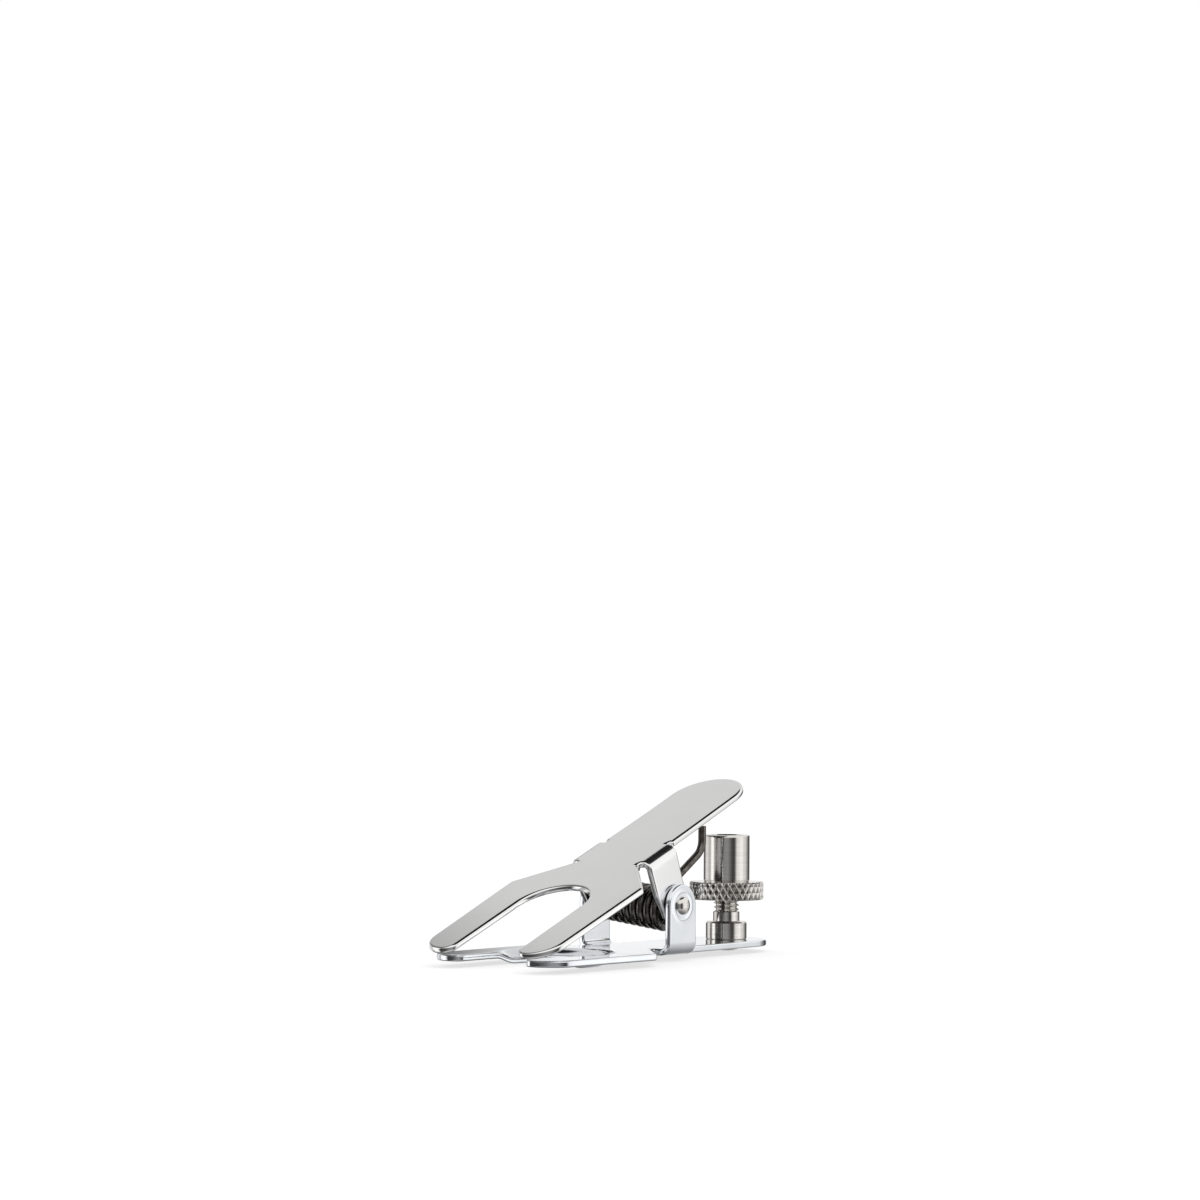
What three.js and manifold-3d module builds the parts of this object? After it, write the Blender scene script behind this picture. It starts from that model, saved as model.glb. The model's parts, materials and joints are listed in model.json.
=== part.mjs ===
// Fork-type pinch clamp for laboratory ball joints, with a thumb nut that locks it shut.
// Millimetres, +Z up. X runs along the clamp with the jaw tips at -X, Y lies along the hinge
// axis, and the origin is on the underside of the lower plate, straight below the hinge axis.
import * as THREE from 'three';
import { mergeVertices } from 'three/addons/utils/BufferGeometryUtils.js';
import Module from 'manifold-3d';

const wasm = await Module();
wasm.setup();

// Hinge
const HINGE_HEIGHT = 11.05;
const PITCH = THREE.MathUtils.degToRad(22.5);
const PIN_RADIUS = 1.5;
const PIN_HEAD_RADIUS = 2.05;
const PIN_HEAD_HEIGHT = 1.1;
const PIN_HOLE_RADIUS = 1.8;

// Lower jaw
const LOWER_SHEET = 1.5;
const LOWER_TIP_X = -50.6;
const LOWER_SHOULDER_X = -16.5;
const LOWER_NECK_X = -7;
const TAIL_HALF_WIDTH = 9.4;
const LOWER_EAR_RADIUS = 4.78;
const LOWER_EAR_FACE = 13.15;
const LOWER_EAR_BEND = 2.7;

// Upper jaw, measured along its own plate (U), across it (V) and up from the hinge axis (W)
const UPPER_SHEET = 1.4;
const UPPER_TOP = 12.93;
const UPPER_UNDERSIDE = UPPER_TOP - UPPER_SHEET;
const UPPER_TIP_U = -52.3;
const UPPER_SHOULDER_U = -18.2;
const UPPER_NECK_U = -7.4;
const HANDLE_CENTRE_U = 31.3;
const HANDLE_HALF_WIDTH = 9.4;
const UPPER_EAR_RADIUS = 4.65;
const UPPER_EAR_FACE = 11.4;
const UPPER_EAR_BEND = 2.1;
const UPPER_EAR_ROOT_FRONT = -5.6;
const UPPER_EAR_ROOT_REAR = 4.4;

// Fork shape that both jaws share
const SHOULDER_HALF_WIDTH = 19;
const PRONG_END_HALF_WIDTH = 18.2;
const NECK_HALF_WIDTH = 9.6;
const SLOT_RADIUS = 9.1;
const SLOT_CENTRE = -28;
const TIP_OUTER_RADIUS = 6.2;
const TIP_INNER_RADIUS = 2.8;
const RELIEF_WIDTH = 1.4;
const RELIEF_EDGE = 8.5;
const RELIEF_CORNER = 0.4;
const SHOULDER_CORNER = 1;

// Dished seat around the closed end of the lower slot
const SEAT_DEPTH = 1.4;
const SEAT_LIP = 9.7;
const SEAT_FOOT = 10.4;
const SEAT_BROW = 12.2;
const SEAT_OUTER = 13.2;
const SEAT_OVERLAP = 0.4;
const SEAT_FOOT_DEPTH = 0.82 * SEAT_DEPTH;
const SEAT_BROW_DEPTH = 0.11 * SEAT_DEPTH;

// Lock stud and thumb nut
const STUD_X = 33.1;
const SHANK_RADIUS = 2.25;
const SHANK_HOLE_RADIUS = 2.55;
const COLLAR_RADIUS = 4.8;
const COLLAR_TOP = 5.6;
const NECK_RADIUS = 3.1;
const NECK_TOP = 7.9;
const THREAD_RADIUS = 2.8;
const STUD_TOP = 23;
const RIVET_RADIUS = 3.5;
const RIVET_HEIGHT = 1.3;
const NUT_BORE_RADIUS = 3.1;
const RING_RADIUS = 8.5;
const RING_BOTTOM = 10.7;
const RING_TOP = 14.8;
const RING_BORE_RADIUS = 4.6;
const SLEEVE_RADIUS = 4.3;
const BARREL_RADIUS = 5.4;
const BARREL_TOP = 25.7;
const BARREL_CHAMFER = 0.4;

// Torsion spring
const WIRE_RADIUS = 0.9;
const COIL_RADIUS = 4.1;
const COIL_HALF_LENGTH = 8.45;
const COIL_CENTRE_HEIGHT = 10.95;
const COIL_TILT = 0.115;
const COIL_TURNS = 8;
const HANDLE_LEG_X = 12.8;
const HANDLE_LEG_ELBOW = 22.95;
const TAIL_LEG_X = 23.6;
const TAIL_LEG_ELBOW = 6.2;
const BEND_START = 0.4;
const BEND_CUT = 0.05;
const BEND_END = 0.12;
const LEG_MIDDLE = 0.5;

// Fineness and play
const GAP = 0.25;
const ARC_STEP = THREE.MathUtils.degToRad(10);
const LATHE_SEGMENTS = 36;
const DOME_STEPS = 3;
const WIRE_SIDES = 8;
const COIL_STEPS_PER_TURN = 14;
const MIN_EDGE = 0.001;
const CUTTER_REACH = 40;
const CUT_MARGIN = 1;

const QUARTER = Math.PI / 2;

function solidFrom(geometry) {
  const bare = geometry.clone();
  bare.deleteAttribute('normal');
  bare.deleteAttribute('uv');
  const merged = mergeVertices(bare);
  return new wasm.Manifold(new wasm.Mesh({
    numProp: 3,
    vertProperties: new Float32Array(merged.attributes.position.array),
    triVerts: new Uint32Array(merged.index.array),
  }));
}

function geometryFrom(solid) {
  const mesh = solid.getMesh();
  const geometry = new THREE.BufferGeometry();
  geometry.setAttribute('position', new THREE.BufferAttribute(mesh.vertProperties, 3));
  geometry.setIndex(new THREE.BufferAttribute(mesh.triVerts, 1));
  geometry.computeVertexNormals();
  return geometry;
}

// Corners are [x, y, radius]; each one with a radius is rounded by an arc.
function roundedOutline(corners) {
  const points = [];
  corners.forEach(([x, y, radius], index) => {
    const corner = new THREE.Vector2(x, y);
    if (!radius) {
      points.push(corner);
      return;
    }
    const before = corners.at(index - 1);
    const after = corners[(index + 1) % corners.length];
    const back = new THREE.Vector2(before[0] - x, before[1] - y).normalize();
    const ahead = new THREE.Vector2(after[0] - x, after[1] - y).normalize();
    const halfAngle = Math.acos(THREE.MathUtils.clamp(back.dot(ahead), -1, 1)) / 2;
    const toCentre = back.clone().add(ahead).setLength(radius / Math.sin(halfAngle));
    const centre = corner.clone().add(toCentre);
    const start = corner.clone().addScaledVector(back, radius / Math.tan(halfAngle)).sub(centre);
    const turn = (Math.PI - 2 * halfAngle) * Math.sign(ahead.cross(back));
    const steps = Math.max(2, Math.ceil(Math.abs(turn) / ARC_STEP));
    for (let step = 0; step <= steps; step += 1) {
      points.push(start.clone().rotateAround(new THREE.Vector2(), turn * step / steps).add(centre));
    }
  });
  return points.filter((point, index) => point.distanceTo(points.at(index - 1)) > MIN_EDGE);
}

function prism(outline, depth) {
  return new THREE.ExtrudeGeometry(new THREE.Shape(outline), { depth, bevelEnabled: false });
}

// An outline drawn as (y, z), extruded along X from one place to another.
function prismAlongX(outline, from, to) {
  const basis = new THREE.Matrix4().makeBasis(
    new THREE.Vector3(0, 1, 0),
    new THREE.Vector3(0, 0, 1),
    new THREE.Vector3(1, 0, 0),
  );
  return prism(outline, to - from).applyMatrix4(basis).translate(from, 0, 0);
}

// An outline drawn as (x, z), extruded along Y to the same distance on both sides.
function prismAlongY(outline, reach) {
  const basis = new THREE.Matrix4().makeBasis(
    new THREE.Vector3(1, 0, 0),
    new THREE.Vector3(0, 0, 1),
    new THREE.Vector3(0, -1, 0),
  );
  return prism(outline, 2 * reach).applyMatrix4(basis).translate(0, reach, 0);
}

// A closed profile of [radius, height] pairs, turned about the Z axis.
function turned(profile) {
  const points = profile.map(([radius, height]) => new THREE.Vector2(radius, height));
  return new THREE.LatheGeometry(points, LATHE_SEGMENTS).rotateX(QUARTER);
}

// A cutting rod along Y.
function rod(radius) {
  return new THREE.CylinderGeometry(radius, radius, CUTTER_REACH, LATHE_SEGMENTS);
}

function hole(radius, x) {
  return solidFrom(rod(radius).rotateX(QUARTER).translate(x, 0, 0));
}

function pinHole() {
  return solidFrom(rod(PIN_HOLE_RADIUS));
}

// One half of a fork's outline, from its slot round the tip to the neck.
function forkHalf(tip, shoulder, neck) {
  return [
    [SLOT_CENTRE + SLOT_RADIUS, SLOT_RADIUS, SLOT_RADIUS],
    [tip, SLOT_RADIUS, TIP_INNER_RADIUS],
    [tip, PRONG_END_HALF_WIDTH, TIP_OUTER_RADIUS],
    [shoulder, SHOULDER_HALF_WIDTH, SHOULDER_CORNER],
    [neck, NECK_HALF_WIDTH, 0],
  ];
}

// The whole plate: the half outline with the ear reliefs and the rounded tail, mirrored.
function jawPlate(half, reliefs, tailCentre, tailHalfWidth, thickness) {
  const corners = [...half];
  reliefs.forEach((from) => {
    corners.push([from, NECK_HALF_WIDTH, 0]);
    corners.push([from, RELIEF_EDGE, RELIEF_CORNER]);
    corners.push([from + RELIEF_WIDTH, RELIEF_EDGE, RELIEF_CORNER]);
    corners.push([from + RELIEF_WIDTH, NECK_HALF_WIDTH, 0]);
  });
  corners.push([tailCentre - tailHalfWidth, tailHalfWidth, 0]);
  corners.push([tailCentre + tailHalfWidth, tailHalfWidth, tailHalfWidth]);
  const mirrored = corners.map(([x, y, radius]) => [x, -y, radius]).reverse();
  return solidFrom(prism(roundedOutline([...corners, ...mirrored]), thickness));
}

// The section of a pair of ears bent from one plate: a wide U, open upwards.
function earSection(face, bend, thickness, height) {
  const outer = [[-face, height, 0], [-face, 0, bend], [face, 0, bend], [face, height, 0]];
  const innerFace = face - thickness;
  const innerBend = bend - thickness;
  const inner = [
    [innerFace, height, 0],
    [innerFace, thickness, innerBend],
    [-innerFace, thickness, innerBend],
    [-innerFace, height, 0],
  ];
  return roundedOutline([...outer, ...inner]);
}

// The side view of an ear: straight flanks down to the plate and a round end about the pin.
function earOutline(rootFront, rootRear, radius, pinHeight) {
  const outline = [new THREE.Vector2(rootFront, 0), new THREE.Vector2(rootRear, 0)];
  for (let angle = 0; angle <= Math.PI + ARC_STEP / 2; angle += ARC_STEP) {
    outline.push(new THREE.Vector2(radius * Math.cos(angle), pinHeight + radius * Math.sin(angle)));
  }
  return outline;
}

// Both ears at once: the bent section, cut to the side view.
function ears(face, bend, thickness, outline) {
  const across = outline.map((point) => point.x);
  const front = Math.min(...across) - CUT_MARGIN;
  const rear = Math.max(...across) + CUT_MARGIN;
  const height = Math.max(...outline.map((point) => point.y)) + CUT_MARGIN;
  const section = solidFrom(prismAlongX(earSection(face, bend, thickness, height), front, rear));
  return section.intersect(solidFrom(prismAlongY(outline, face + CUT_MARGIN)));
}

// The dished seat is a turned ring, opened where the slot runs out towards the tips.
function dishedSeat() {
  const overlap = SEAT_OUTER + 2 * SEAT_OVERLAP;
  const underside = [
    [SLOT_RADIUS, -SEAT_DEPTH],
    [SEAT_LIP, -SEAT_DEPTH],
    [SEAT_FOOT, -SEAT_FOOT_DEPTH],
    [SEAT_BROW, -SEAT_BROW_DEPTH],
    [SEAT_OUTER, 0],
    [overlap, 0],
  ];
  const top = underside.map(([radius, height]) => [radius, height + LOWER_SHEET]).reverse();
  const ring = solidFrom(turned([...underside, ...top, underside[0]]));
  const slot = new THREE.BoxGeometry(CUTTER_REACH, 2 * SLOT_RADIUS, CUTTER_REACH);
  return ring.subtract(solidFrom(slot.translate(-CUTTER_REACH / 2, 0, 0))).translate(SLOT_CENTRE, 0, 0);
}

function lowerJawGeometry() {
  const reliefs = [-LOWER_EAR_RADIUS - RELIEF_WIDTH, LOWER_EAR_RADIUS];
  const half = forkHalf(LOWER_TIP_X, LOWER_SHOULDER_X, LOWER_NECK_X);
  const plate = jawPlate(half, reliefs, STUD_X, TAIL_HALF_WIDTH, LOWER_SHEET);
  const outline = earOutline(-LOWER_EAR_RADIUS, LOWER_EAR_RADIUS, LOWER_EAR_RADIUS, HINGE_HEIGHT);
  const pair = ears(LOWER_EAR_FACE, LOWER_EAR_BEND, LOWER_SHEET, outline);
  const solid = plate
    .subtract(hole(SEAT_OUTER + SEAT_OVERLAP, SLOT_CENTRE))
    .add(dishedSeat())
    .add(pair)
    .subtract(pinHole().translate(0, 0, HINGE_HEIGHT))
    .subtract(hole(SHANK_HOLE_RADIUS, STUD_X));
  return geometryFrom(solid);
}

// Built with its hinge axis on Y: the plate is above and its ears hang down to the axis.
function upperJawGeometry() {
  const reliefs = [UPPER_EAR_ROOT_FRONT - RELIEF_WIDTH, UPPER_EAR_ROOT_REAR];
  const half = forkHalf(UPPER_TIP_U, UPPER_SHOULDER_U, UPPER_NECK_U);
  const plate = jawPlate(half, reliefs, HANDLE_CENTRE_U, HANDLE_HALF_WIDTH, UPPER_SHEET);
  const outline = earOutline(UPPER_EAR_ROOT_FRONT, UPPER_EAR_ROOT_REAR, UPPER_EAR_RADIUS, UPPER_TOP);
  const pair = ears(UPPER_EAR_FACE, UPPER_EAR_BEND, UPPER_SHEET, outline);
  const solid = plate
    .translate(0, 0, UPPER_UNDERSIDE)
    .add(pair.rotate(180, 0, 0).translate(0, 0, UPPER_TOP))
    .subtract(pinHole());
  return geometryFrom(solid);
}

// Profile of a rivet's domed head from its rim to its crown.
function dome(radius, height) {
  const profile = [];
  for (let step = 0; step < DOME_STEPS; step += 1) {
    const angle = QUARTER * step / DOME_STEPS;
    profile.push([radius * Math.cos(angle), height * Math.sin(angle)]);
  }
  profile.push([0, height]);
  return profile;
}

function hingePinGeometry() {
  const seat = LOWER_EAR_FACE + GAP;
  const end = [
    [PIN_RADIUS, seat],
    ...dome(PIN_HEAD_RADIUS, PIN_HEAD_HEIGHT).map(([radius, height]) => [radius, seat + height]),
  ];
  const farEnd = end.map(([radius, height]) => [radius, -height]).reverse();
  const points = [...farEnd, ...end].map(([radius, height]) => new THREE.Vector2(radius, height));
  return new THREE.LatheGeometry(points, LATHE_SEGMENTS);
}

function lockStudGeometry() {
  return turned([
    ...dome(RIVET_RADIUS, RIVET_HEIGHT).map(([radius, height]) => [radius, -GAP - height]).reverse(),
    [SHANK_RADIUS, -GAP],
    [SHANK_RADIUS, LOWER_SHEET + GAP],
    [COLLAR_RADIUS, LOWER_SHEET + GAP],
    [COLLAR_RADIUS, COLLAR_TOP],
    [NECK_RADIUS, COLLAR_TOP],
    [NECK_RADIUS, NECK_TOP],
    [THREAD_RADIUS, NECK_TOP],
    [THREAD_RADIUS, STUD_TOP],
    [0, STUD_TOP],
  ]);
}

// The barrel runs down inside the ring as a sleeve.
function nutBarrelGeometry() {
  const profile = [
    [NUT_BORE_RADIUS, RING_BOTTOM],
    [SLEEVE_RADIUS, RING_BOTTOM],
    [SLEEVE_RADIUS, RING_TOP + GAP],
    [BARREL_RADIUS, RING_TOP + GAP],
    [BARREL_RADIUS, BARREL_TOP - BARREL_CHAMFER],
    [BARREL_RADIUS - BARREL_CHAMFER, BARREL_TOP],
    [NUT_BORE_RADIUS, BARREL_TOP],
  ];
  return turned([...profile, profile[0]]);
}

function knurledRingGeometry() {
  const profile = [
    [RING_BORE_RADIUS, RING_BOTTOM],
    [RING_RADIUS, RING_BOTTOM],
    [RING_RADIUS, RING_TOP],
    [RING_BORE_RADIUS, RING_TOP],
  ];
  return turned([...profile, profile[0]]);
}

// Angle at which a straight leg from (x, z) touches the coil; side is +1 or -1.
function touchAngle(x, z, centreZ, side) {
  const distance = Math.hypot(x, z - centreZ);
  return Math.atan2(z - centreZ, x) + side * Math.acos(COIL_RADIUS / distance);
}

// One wire: a leg standing on the tail, the coil loose on the pin, a leg up to the handle.
function springRoute() {
  const coilCentre = (y) => COIL_CENTRE_HEIGHT + COIL_TILT * y;
  const tailY = COIL_HALF_LENGTH;
  const handleY = -COIL_HALF_LENGTH;
  const tailElbow = new THREE.Vector3(TAIL_LEG_X, tailY, TAIL_LEG_ELBOW);
  const handleElbow = new THREE.Vector3(HANDLE_LEG_X, handleY, HANDLE_LEG_ELBOW);
  const underside = HINGE_HEIGHT + UPPER_UNDERSIDE / Math.cos(PITCH)
    + (HANDLE_LEG_X - WIRE_RADIUS) * Math.tan(PITCH);
  const tailEnd = new THREE.Vector3(TAIL_LEG_X, tailY, LOWER_SHEET + GAP);
  const handleEnd = new THREE.Vector3(HANDLE_LEG_X, handleY, underside - GAP);
  const startAngle = touchAngle(TAIL_LEG_X, TAIL_LEG_ELBOW, coilCentre(tailY), -1);
  const endAngle = touchAngle(HANDLE_LEG_X, HANDLE_LEG_ELBOW, coilCentre(handleY), 1);
  const sweep = startAngle - endAngle + 2 * Math.PI * (COIL_TURNS + 1);
  const coil = [];
  const steps = Math.round(sweep / (2 * Math.PI) * COIL_STEPS_PER_TURN);
  for (let step = 0; step <= steps; step += 1) {
    const angle = startAngle - sweep * step / steps;
    const y = THREE.MathUtils.lerp(tailY, handleY, step / steps);
    const z = coilCentre(y) + COIL_RADIUS * Math.sin(angle);
    coil.push(new THREE.Vector3(COIL_RADIUS * Math.cos(angle), y, z));
  }
  const leg = (end, elbow, touch) => [
    end,
    elbow.clone().lerp(end, BEND_START),
    elbow.clone().lerp(end, BEND_CUT).lerp(touch, BEND_CUT),
    elbow.clone().lerp(touch, BEND_END),
    elbow.clone().lerp(touch, LEG_MIDDLE),
  ];
  const tailLeg = leg(tailEnd, tailElbow, coil[0]);
  const handleLeg = leg(handleEnd, handleElbow, coil.at(-1)).reverse();
  return new THREE.CatmullRomCurve3([...tailLeg, ...coil, ...handleLeg]);
}

function springGeometry() {
  const section = new THREE.Shape();
  section.absarc(0, 0, WIRE_RADIUS, 0, 2 * Math.PI);
  const route = springRoute();
  const steps = Math.round(route.getLength() / (2 * WIRE_RADIUS));
  return new THREE.ExtrudeGeometry(section, {
    steps, curveSegments: WIRE_SIDES / 2, extrudePath: route, bevelEnabled: false,
  });
}

function metal(color, roughness) {
  return new THREE.MeshStandardMaterial({ color, roughness, metalness: 1 });
}

const platedSteel = metal(0xd9dde3, 0.15);
const satinSteel = metal(0xb9b9b8, 0.35);
const stainlessSteel = metal(0xc4c0ba, 0.2);
const springSteel = metal(0x5b544e, 0.35);

function piece(name, geometry, material) {
  const mesh = new THREE.Mesh(geometry, material.clone());
  mesh.name = name;
  return mesh;
}

const group = new THREE.Group();

const lowerJaw = piece('lower_jaw', lowerJawGeometry(), platedSteel);
group.add(lowerJaw);

const upperJaw = new THREE.Group();
upperJaw.position.z = HINGE_HEIGHT;
upperJaw.rotation.y = -PITCH;
upperJaw.add(piece('upper_jaw', upperJawGeometry(), satinSteel));
group.add(upperJaw);

const hingePin = piece('hinge_pin', hingePinGeometry(), stainlessSteel);
hingePin.position.z = HINGE_HEIGHT;
group.add(hingePin);

group.add(piece('torsion_spring', springGeometry(), springSteel));

const lockStud = piece('lock_stud', lockStudGeometry(), stainlessSteel);
const nutBarrel = piece('thumb_nut_barrel', nutBarrelGeometry(), stainlessSteel);
const nutRing = piece('thumb_nut_knurled_ring', knurledRingGeometry(), stainlessSteel);
[lockStud, nutBarrel, nutRing].forEach((mesh) => {
  mesh.position.x = STUD_X;
  group.add(mesh);
});

export default group;
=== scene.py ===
# Looks of the forked pinch clamp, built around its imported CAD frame.
# Lengths in the constants are millimetres, except that the camera's place, the tent, the overhead light,
# the floor and the noise are in metres. Every mesh is scaled to metres when it is made.
import json
import math

import bpy
import numpy as np
from mathutils import Matrix, Vector
from mathutils.geometry import delaunay_2d_cdt


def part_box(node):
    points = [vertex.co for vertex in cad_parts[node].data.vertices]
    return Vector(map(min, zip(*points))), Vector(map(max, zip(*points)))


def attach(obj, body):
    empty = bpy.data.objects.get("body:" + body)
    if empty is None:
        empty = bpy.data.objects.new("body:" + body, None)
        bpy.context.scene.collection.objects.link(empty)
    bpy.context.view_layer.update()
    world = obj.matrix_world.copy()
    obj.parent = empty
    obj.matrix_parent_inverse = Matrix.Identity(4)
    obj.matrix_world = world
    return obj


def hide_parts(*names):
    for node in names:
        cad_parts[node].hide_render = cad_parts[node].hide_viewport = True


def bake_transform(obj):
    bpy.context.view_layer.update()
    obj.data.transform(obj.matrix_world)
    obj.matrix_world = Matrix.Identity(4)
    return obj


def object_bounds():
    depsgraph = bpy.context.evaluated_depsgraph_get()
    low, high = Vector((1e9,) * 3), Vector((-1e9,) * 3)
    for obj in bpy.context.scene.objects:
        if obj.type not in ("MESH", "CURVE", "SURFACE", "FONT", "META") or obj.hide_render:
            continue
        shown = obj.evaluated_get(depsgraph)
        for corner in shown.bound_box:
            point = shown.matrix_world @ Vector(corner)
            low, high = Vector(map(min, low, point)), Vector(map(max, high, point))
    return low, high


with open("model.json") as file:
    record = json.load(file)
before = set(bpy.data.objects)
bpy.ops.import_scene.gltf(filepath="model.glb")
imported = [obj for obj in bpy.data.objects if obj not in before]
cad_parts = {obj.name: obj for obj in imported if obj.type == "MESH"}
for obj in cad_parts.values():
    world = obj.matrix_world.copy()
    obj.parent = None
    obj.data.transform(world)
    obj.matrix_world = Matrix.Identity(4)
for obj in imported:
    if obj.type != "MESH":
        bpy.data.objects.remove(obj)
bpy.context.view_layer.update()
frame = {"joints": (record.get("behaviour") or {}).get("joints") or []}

MM = 0.001
HINGE = Vector(next(joint for joint in frame["joints"] if joint["name"] == "jaw_hinge")["pos_m"]) / MM

# Camera, aimed past the clamp so that it stands right of and below the middle of the view
CAMERA_AZIMUTH = math.radians(-51.142)
CAMERA_ELEVATION = math.radians(3.258)
CAMERA_ROLL = math.radians(-0.443)
CAMERA_DISTANCE = 0.75
CAMERA_TARGET = Vector((0, 0, 0.0116))
TARGET_OFFSET = Vector((0.011282, -0.090874, -1))
SENSOR = 36
LENS = 99.27

# Jaws, as flat blanks before their ears are bent
PITCH = math.radians(22.5)
SHOULDER_HALF_WIDTH = 19
PRONG_END_HALF_WIDTH = 18.2
NECK_HALF_WIDTH = 9.6
TAIL_HALF_WIDTH = 9.4
SLOT_RADIUS = 9.1
SLOT_CENTRE = -28
TIP_OUTER_RADIUS = 6.2
TIP_INNER_RADIUS = 2.8
RELIEF_WIDTH = 1.4
RELIEF_EDGE = 8.5
RELIEF_CORNER = 0.4
SHOULDER_CORNER = 1
PIN_HOLE_RADIUS = 1.7
STUD_HOLE_RADIUS = 2.4
STAMP_RADIUS = 3.16
STAMP_WIDTH = 0.32
STAMP_HEIGHT = 0.12
SEAT_DEPTH = 1.4
SEAT_INNER = 9.6
SEAT_OUTER = 13
HANDLE_CURL = 0.35
HANDLE_CURL_START = 12
HANDLE_CURL_LENGTH = 29

LOWER = {
    "sheet": 1.5, "tip": -50.6, "shoulder": -16.5, "neck": -7, "tail_centre": 33.1,
    "ear_radius": 4.78, "ear_front": -4.78, "ear_rear": 4.78, "ear_face": 13.15, "ear_bend": 2.7,
    "pin_height": HINGE.z, "outer_rounding": 0.4, "inner_rounding": 0.5,
}
UPPER = {
    "sheet": 1.4, "tip": -52.3, "shoulder": -18.2, "neck": -7.4, "tail_centre": 31.3,
    "ear_radius": 4.65, "ear_front": -5.6, "ear_rear": 4.4, "ear_face": 11.4, "ear_bend": 1.85,
    "pin_height": 12.93, "outer_rounding": 0.65, "inner_rounding": 0.35,
}

# Torsion spring
WIRE_RADIUS = 0.9
COIL_RADIUS = 4.1
COIL_HALF_LENGTH = 8.45
COIL_CENTRE_HEIGHT = 10.95
COIL_TILT = 0.115
COIL_TURNS = 8
HANDLE_ELBOW = Vector((12.8, -COIL_HALF_LENGTH, 22.95))
TAIL_ELBOW = Vector((23.6, COIL_HALF_LENGTH, 6.2))
ELBOW_RADIUS = 2.4
LEG_PLAY = 0.05

# Turned parts
SEAT_PLAY = 0.02
PIN_RADIUS = 1.5
PIN_HEAD_RADIUS = 2.05
PIN_HEAD_HEIGHT = 1.1
SHANK_RADIUS = 2.3
COLLAR_RADIUS = 4.8
COLLAR_TOP = 5.6
NECK_RADIUS = 3.1
NECK_TOP = 7.9
NECK_FILLET = 0.1
THREAD_MAJOR = 3
THREAD_MINOR = 2.42
THREAD_PITCH = 1
THREAD_SLOPE = 1.35
THREAD_CREST = 0.12
RIVET_RADIUS = 3.5
RIVET_HEIGHT = 1.3
BARREL_RADIUS = 5.4
SLEEVE_RADIUS = 4.3
BORE_RADIUS = 3.05
CHAMFER = 0.35
CHAMFER_BREAK_IN = 0.12
CHAMFER_BREAK_DOWN = 0.1
BARREL_STEP = 0.15
BARREL_STEP_HEIGHT = 0.25
BARREL_STEP_TOP = 0.4
SHOULDER_PLAY = 0.01
RING_PLAY = 0.05
RING_FACE_WIDTH = 1.2
RING_EASE = 0.2
KNURL_COUNT = 34
KNURL_DEPTH = 0.9
KNURL_LEAN = 0.36
KNURL_STAND = 0.15
# Painted shade in the knurl's pits: it starts past this share of the knurl's depth, and none is painted
# deeper than the next value, in mm
PIT_SHADE_START = 0.25
PIT_SHADE_REACH = 1

# Light tent: brightness by the sine of the elevation, and by turns from -X round the stud.
# TENT_TURNS holds near the horizon, up to CARD_TOP, and TENT_SIDES above and below that.
TENT_RADIUS = 0.16
TENT_STRENGTH = 1
TENT_HEIGHTS = [
    (-1.0, 0.14), (-0.75, 0.24), (-0.45, 0.55), (-0.15, 1.0), (0.83, 1.0), (0.87, 0.02), (1.0, 0.015),
]
TENT_SIDES = [(0.0, 1.0), (0.45, 1.05), (0.55, 0.72), (0.73, 0.7), (0.8, 0.2), (0.92, 0.15), (1.0, 1.0)]
TENT_TURNS = [
    (0.0, 0.06), (0.04, 0.16), (0.075, 0.28), (0.12, 0.3), (0.16, 0.14), (0.19, 0.05),
    (0.22, 0.1), (0.25, 0.9), (0.33, 1.2), (0.36, 0.9), (0.41, 0.75), (0.436, 0.4),
    (0.5, 0.05), (0.53, 0.05), (0.57, 0.95), (0.65, 0.95), (0.69, 0.07), (0.72, 0.07),
    (0.78, 1.0), (0.86, 0.5), (0.885, 1.3), (0.915, 1.3), (0.94, 0.05), (1.0, 0.06),
]
CARD_TOP = 0.3
CARD_FADE = 0.12
TENT_RINGS = 48
TENT_SECTORS = 96
POLE_WIDTH = 0.001
OVERHEAD_WATTS = 3
OVERHEAD_SIZE = 1.2
OVERHEAD_PLACE = (-0.2, -0.3, 1.4)
FLOOR_REACH = 4
FLOOR_GREY = 0.3
FLOOR_ROUGHNESS = 0.9
FLOOR_GLOW = 0.72

# Noise in the metals: its scales are per metre, and its middle range is stretched to the full range
BROAD_SCALE = (90, 90, 90)
BROAD_DETAIL = 3
FINE_DETAIL = 2
NOISE_LOW, NOISE_HIGH = 0.3, 0.7

# Sockets of a Mix node that mixes colours
COLOUR_A, COLOUR_B, COLOUR_RESULT = 6, 7, 2

# Fineness
ARC_STEP = math.radians(6)
MIN_ARC_STEPS = 3
SHORTEST_MITRE = 0.5
CAP_STEP = 0.9
CAP_MARGIN = 0.08
CAP_REACH = 60
CAP_MERGE = 0.000001
PIN_RING_START = 1
PIN_RING_MARGIN = 0.1
PIN_RING_STEP = 0.16
PIN_RING_POINTS = 48
HOLE_SEGMENTS = 40
CAP_CLEARANCE = 0.6 * CAP_STEP
SLIVER_AREA = 0.00001
ROUNDING_STEPS = 5
LATHE_SEGMENTS = 96
KNURL_SAMPLES = 12
KNURL_ROWS = 30
THREAD_ROWS_PER_TURN = 12
DOME_STEPS = 8
AXIS_RADIUS = 0.01
TURN_STEPS = 36
ELBOW_STEPS = 10
WIRE_SIDES = 20
CRISP_ANGLE = 30
PIN_CRISP_ANGLE = 40
RING_CRISP_ANGLE = 55
WIRE_CRISP_ANGLE = 50


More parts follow.
